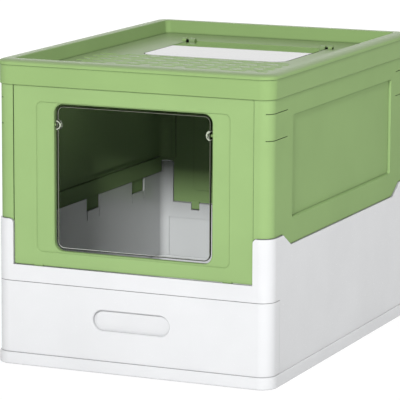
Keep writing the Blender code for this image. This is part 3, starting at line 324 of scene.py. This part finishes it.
def edge_flap(material, half, centre):
    """Gives the clear flap a painted shadow line at its edge, a painted highlight line inside
    it, and a painted floor reflection at its foot.
    """
    nodes, links, shader = open_nodes(material)
    depth = edge_depth(nodes, links, half, centre, FLAP_RADIUS)
    shadow_rim = calculate(nodes, links, "GREATER_THAN", depth, -EDGE_SHADOW_WIDTH)
    band = calculate(nodes, links, "GREATER_THAN", depth, -EDGE_SHADOW_WIDTH - EDGE_HIGHLIGHT_WIDTH)
    clear = calculate(nodes, links, "SUBTRACT", 1, band)
    links.new(clear, shader.inputs["Transmission Weight"])
    foot = centre[1] - half[1]
    height = coordinates(nodes, links)["Z"]
    level = remap(nodes, links, height, foot, foot + EDGE_FADE, 0, 1)
    highlight = mix_colours(nodes, links, level, EDGE_FOOT_REFLECTION_COLOUR, EDGE_HIGHLIGHT_COLOUR)
    inside = mix_colours(nodes, links, band, CLEAR_COLOUR, highlight)
    whole = mix_colours(nodes, links, shadow_rim, inside, EDGE_SHADOW_COLOUR)
    links.new(whole, shader.inputs["Base Color"])


def ring_eyes(material, half_width):
    """A painted highlight: a bright ring round each of the flap's eyes, where the thick plastic
    catches light.
    """
    nodes, links, shader = open_nodes(material)
    parts = coordinates(nodes, links)
    side = calculate(nodes, links, "ABSOLUTE", parts["X"])
    across = calculate(nodes, links, "SUBTRACT", side, half_width)
    up = calculate(nodes, links, "SUBTRACT", parts["Z"], FLAP_AXIS_HEIGHT)
    squares = [calculate(nodes, links, "MULTIPLY", length, length) for length in (across, up)]
    reach = calculate(nodes, links, "SQRT", calculate(nodes, links, "ADD", *squares))
    inner = calculate(nodes, links, "GREATER_THAN", reach, EYE_RING_INNER)
    outer = calculate(nodes, links, "LESS_THAN", reach, EYE_RING_OUTER)
    ring = calculate(nodes, links, "MULTIPLY", inner, outer)
    around = calculate(nodes, links, "SUBTRACT", 1, ring)
    clear = shader.inputs["Transmission Weight"].links[0].from_socket
    both = calculate(nodes, links, "MINIMUM", clear, around)
    links.new(both, shader.inputs["Transmission Weight"])
    plain = shader.inputs["Base Color"].links[0].from_socket
    colours = mix_colours(nodes, links, ring, plain, EYE_HIGHLIGHT_COLOUR)
    links.new(colours, shader.inputs["Base Color"])


def colour_hatch(material, eye_colour):
    """Gives the hatch painted shadow lines along its side edges, and its eyes the colour of
    what is around them.
    """
    nodes, links, shader = open_nodes(material)
    low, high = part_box("top_hatch")
    parts = coordinates(nodes, links)
    across = calculate(nodes, links, "ABSOLUTE", parts["X"])
    side = calculate(nodes, links, "GREATER_THAN", across, high[0] - HATCH_EDGE)
    behind = calculate(nodes, links, "GREATER_THAN", parts["Y"], high[1] - HATCH_EYE_REACH)
    outer = calculate(nodes, links, "GREATER_THAN", across, high[0] - HATCH_EYE_WIDTH)
    eye = calculate(nodes, links, "MULTIPLY", behind, outer)
    solid = calculate(nodes, links, "MAXIMUM", side, eye)
    clear = calculate(nodes, links, "SUBTRACT", 1, solid)
    links.new(clear, shader.inputs["Transmission Weight"])
    links.new(clear, shader.inputs["Coat Weight"])
    shadowed_sides = mix_colours(nodes, links, side, CLEAR_COLOUR, EDGE_SHADOW_COLOUR)
    links.new(mix_colours(nodes, links, eye, shadowed_sides, eye_colour), shader.inputs["Base Color"])


def coat_tops_and_paint_reflection(material, colour):
    """Upward faces get a smooth coat, and a painted reflection that turns their colour a little
    greyer.
    """
    nodes, links, shader = open_nodes(material)
    facing = nodes.new("ShaderNodeNewGeometry")
    parts = nodes.new("ShaderNodeSeparateXYZ")
    links.new(facing.outputs["Normal"], parts.inputs[0])
    share = remap(nodes, links, parts.outputs["Z"], TOP_START, 1, 0, 1)
    coat = calculate(nodes, links, "MULTIPLY", share, TOP_COAT)
    links.new(coat, shader.inputs["Coat Weight"])
    shader.inputs["Coat Roughness"].default_value = TOP_COAT_ROUGHNESS
    painted_reflection = calculate(nodes, links, "MULTIPLY", share, TOP_REFLECTION_SHARE)
    tint = nodes["tint"]
    plain = tint.inputs[0].links[0].from_socket
    links.new(mix_colours(nodes, links, painted_reflection, plain, colour), tint.inputs[0])


def hide_inner_end(material, colour):
    """Colours the end of a pin that sits in a clear eye like what lies around it."""
    nodes, links = open_nodes(material)[:2]
    across = calculate(nodes, links, "ABSOLUTE", coordinates(nodes, links)["X"])
    outer = calculate(nodes, links, "GREATER_THAN", across, HATCH_EYE_END)
    tint = nodes["tint"]
    plain = tint.inputs[0].links[0].from_socket
    links.new(mix_colours(nodes, links, outer, colour, plain), tint.inputs[0])


def dress(node, material):
    """Gives a node its finish."""
    slots = NODES[node].data.materials
    slots.clear()
    slots.append(material)


def soften(node, radius):
    """Rounds a node's sharp edges without moving its faces."""
    thing = NODES[node]
    weld = thing.modifiers.new("weld", "WELD")
    weld.merge_threshold = WELD_DISTANCE
    flatten = thing.modifiers.new("flatten", "DECIMATE")
    flatten.decimate_type = "DISSOLVE"
    flatten.angle_limit = FLAT_ANGLE
    edges = thing.modifiers.new("edges", "BEVEL")
    edges.width = radius
    edges.segments = EDGE_SEGMENTS
    edges.limit_method = "ANGLE"
    edges.angle_limit = EDGE_ANGLE
    edges.use_clamp_overlap = True
    edges.harden_normals = False
    normals = thing.modifiers.new("normals", "WEIGHTED_NORMAL")
    normals.mode = "FACE_AREA"
    normals.weight = FACE_WEIGHT
    normals.keep_sharp = False
    for polygon in thing.data.polygons:
        polygon.use_smooth = True


def make_flap_plastic():
    """The flap's clear plastic, with its edges and the rings of its eyes."""
    material = clear_plastic("flap_plastic", FLAP_IOR, FLAP_TINT, 0, FLAP_LIGHT)
    low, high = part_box("front_flap")
    half = ((high[0] - low[0]) / 2, (high[2] - low[2]) / 2)
    centre = ((high[0] + low[0]) / 2, (high[2] + low[2]) / 2)
    edge_flap(material, half, centre)
    ring_eyes(material, half[0])
    return material


def make_hatch_plastic():
    """The hatch's clear plastic, with its edges and eyes."""
    material = clear_plastic("hatch_plastic", HATCH_IOR, 1, 1, HATCH_LIGHT)
    colour_hatch(material, linear(HATCH_EYE_COLOUR))
    return material


def make_lid_plastic():
    """The lid's green plastic, with a smooth coat and a painted reflection on its upward faces.
    """
    material = plastic("lid_plastic", LID_COLOUR, LID_ROUGHNESS, LID_GLOSS)
    coat_tops_and_paint_reflection(material, linear(LID_TOP_REFLECTION_COLOUR))
    return material


def make_pin_plastic():
    """The hatch pins' black plastic, with their hidden inner ends."""
    material = plastic("black_plastic", BLACK_COLOUR, BLACK_ROUGHNESS, BLACK_GLOSS)
    hide_inner_end(material, linear(HATCH_EYE_COLOUR))
    return material


def finish_nodes():
    """Gives every node its finish and its softened edges."""
    green = plastic("green_plastic", GREEN_COLOUR, GREEN_ROUGHNESS, GREEN_GLOSS)
    white_finish = (WHITE_ROUGHNESS, WHITE_GLOSS, WHITE_CREASE_SHADE_SHARE)
    white = plastic("white_plastic", WHITE_COLOUR, *white_finish)
    black = make_pin_plastic()
    finishes = (
        (white, EDGE_RADIUS, ("base_frame", "litter_drawer")),
        (green, EDGE_RADIUS, ("left_wall", "right_wall", "front_wall", "back_wall")),
        (make_lid_plastic(), EDGE_RADIUS, ("lid",)),
        (make_flap_plastic(), THIN_EDGE_RADIUS, ("front_flap",)),
        (make_hatch_plastic(), THIN_EDGE_RADIUS, ("top_hatch",)),
        (green, THIN_EDGE_RADIUS, ("flap_pin_left", "flap_pin_right")),
        (black, THIN_EDGE_RADIUS, ("hatch_pin_left", "hatch_pin_right")),
    )
    for material, radius, names in finishes:
        for name in names:
            dress(name, material)
            soften(name, radius)


def seen(nodes, links):
    """1 where the eye sees it, directly, in a gloss or through a clear sheet, else 0."""
    path = nodes.new("ShaderNodeLightPath")
    pairs = (("Is Glossy Ray", "Transmission Depth"), ("Is Transmission Ray", "Glossy Depth"))
    total = path.outputs["Is Camera Ray"]
    for ray, depth in pairs:
        first = calculate(nodes, links, "LESS_THAN", path.outputs[depth], 1)
        both = calculate(nodes, links, "MULTIPLY", path.outputs[ray], first)
        total = calculate(nodes, links, "MAXIMUM", total, both)
    direct = calculate(nodes, links, "LESS_THAN", path.outputs["Diffuse Depth"], 1)
    return calculate(nodes, links, "MULTIPLY", total, direct)


def floor_material():
    """White where it is seen, with a faint shadow near the object."""
    material = new_material("floor")
    nodes, links, shader = open_nodes(material)
    nodes.remove(shader)
    diffuse = nodes.new("ShaderNodeBsdfDiffuse")
    diffuse.inputs["Color"].default_value = (FLOOR_COLOUR, FLOOR_COLOUR, FLOOR_COLOUR, 1)
    glow = nodes.new("ShaderNodeEmission")
    glow.inputs["Strength"].default_value = FLOOR_GLOW
    place = nodes.new("ShaderNodeTexCoord")
    distance = nodes.new("ShaderNodeVectorMath")
    distance.operation = "LENGTH"
    links.new(place.outputs["Object"], distance.inputs[0])
    far = distance.outputs["Value"]
    fade = remap(nodes, links, far, FADE_START, FADE_END, FLOOR_GLOW_SHARE, 1)
    mix = nodes.new("ShaderNodeMixShader")
    share = calculate(nodes, links, "MULTIPLY", seen(nodes, links), fade)
    links.new(share, mix.inputs["Fac"])
    links.new(diffuse.outputs["BSDF"], mix.inputs[1])
    links.new(glow.outputs["Emission"], mix.inputs[2])
    links.new(mix.outputs["Shader"], nodes["Material Output"].inputs["Surface"])
    return material


def make_floor():
    """Wide white floor under the object."""
    mesh = bpy.data.meshes.new("floor")
    turns = ((-1, -1), (1, -1), (1, 1), (-1, 1))
    corners = [(x * FLOOR_REACH, y * FLOOR_REACH, 0) for x, y in turns]
    mesh.from_pydata(corners, [], [(0, 1, 2, 3)])
    mesh.materials.append(floor_material())
    floor = bpy.data.objects.new("floor", mesh)
    bpy.context.scene.collection.objects.link(floor)


def make_world():
    """White where it is seen, soft light elsewhere."""
    world = bpy.data.worlds.new("studio")
    bpy.context.scene.world = world
    world.use_nodes = True
    nodes = world.node_tree.nodes
    links = world.node_tree.links
    plain = nodes["Background"]
    plain.inputs["Color"].default_value = (1, 1, 1, 1)
    plain.inputs["Strength"].default_value = WORLD_LIGHT
    white = nodes.new("ShaderNodeBackground")
    white.inputs["Color"].default_value = (1, 1, 1, 1)
    white.inputs["Strength"].default_value = 1
    mix = nodes.new("ShaderNodeMixShader")
    links.new(seen(nodes, links), mix.inputs["Fac"])
    links.new(plain.outputs["Background"], mix.inputs[1])
    links.new(white.outputs["Background"], mix.inputs[2])
    links.new(mix.outputs["Shader"], nodes["World Output"].inputs["Surface"])


def make_lamp(name, place, size, power):
    """Square soft lamp aimed at the object, and not seen itself."""
    light = bpy.data.lights.new(name, "AREA")
    light.shape = "SQUARE"
    light.size = size
    light.energy = power
    thing = bpy.data.objects.new(name, light)
    bpy.context.scene.collection.objects.link(thing)
    thing.location = place
    aim = Vector(LAMP_TARGET) - Vector(place)
    thing.rotation_euler = aim.to_track_quat("-Z", "Y").to_euler()
    thing.visible_camera = False
    thing.visible_glossy = False
    thing.visible_transmission = False


def make_camera():
    """Long lens at the photograph's angle."""
    data = bpy.data.cameras.new("camera")
    data.sensor_fit = "HORIZONTAL"
    data.sensor_width = SENSOR_WIDTH
    data.lens = LENS
    data.clip_start = CLIP_START
    data.clip_end = CLIP_END
    camera = bpy.data.objects.new("camera", data)
    bpy.context.scene.collection.objects.link(camera)
    turn = Matrix.Rotation(YAW, 4, "Z") @ Matrix.Rotation(math.pi / 2 - PITCH, 4, "X")
    camera.matrix_world = Matrix.Translation(EYE) @ turn @ Matrix.Rotation(ROLL, 4, "Z")
    bpy.context.scene.camera = camera


finish_nodes()
make_floor()
make_world()
for lamp in LAMPS:
    make_lamp(*lamp)
make_camera()
bpy.context.scene.view_settings.view_transform = "Standard"
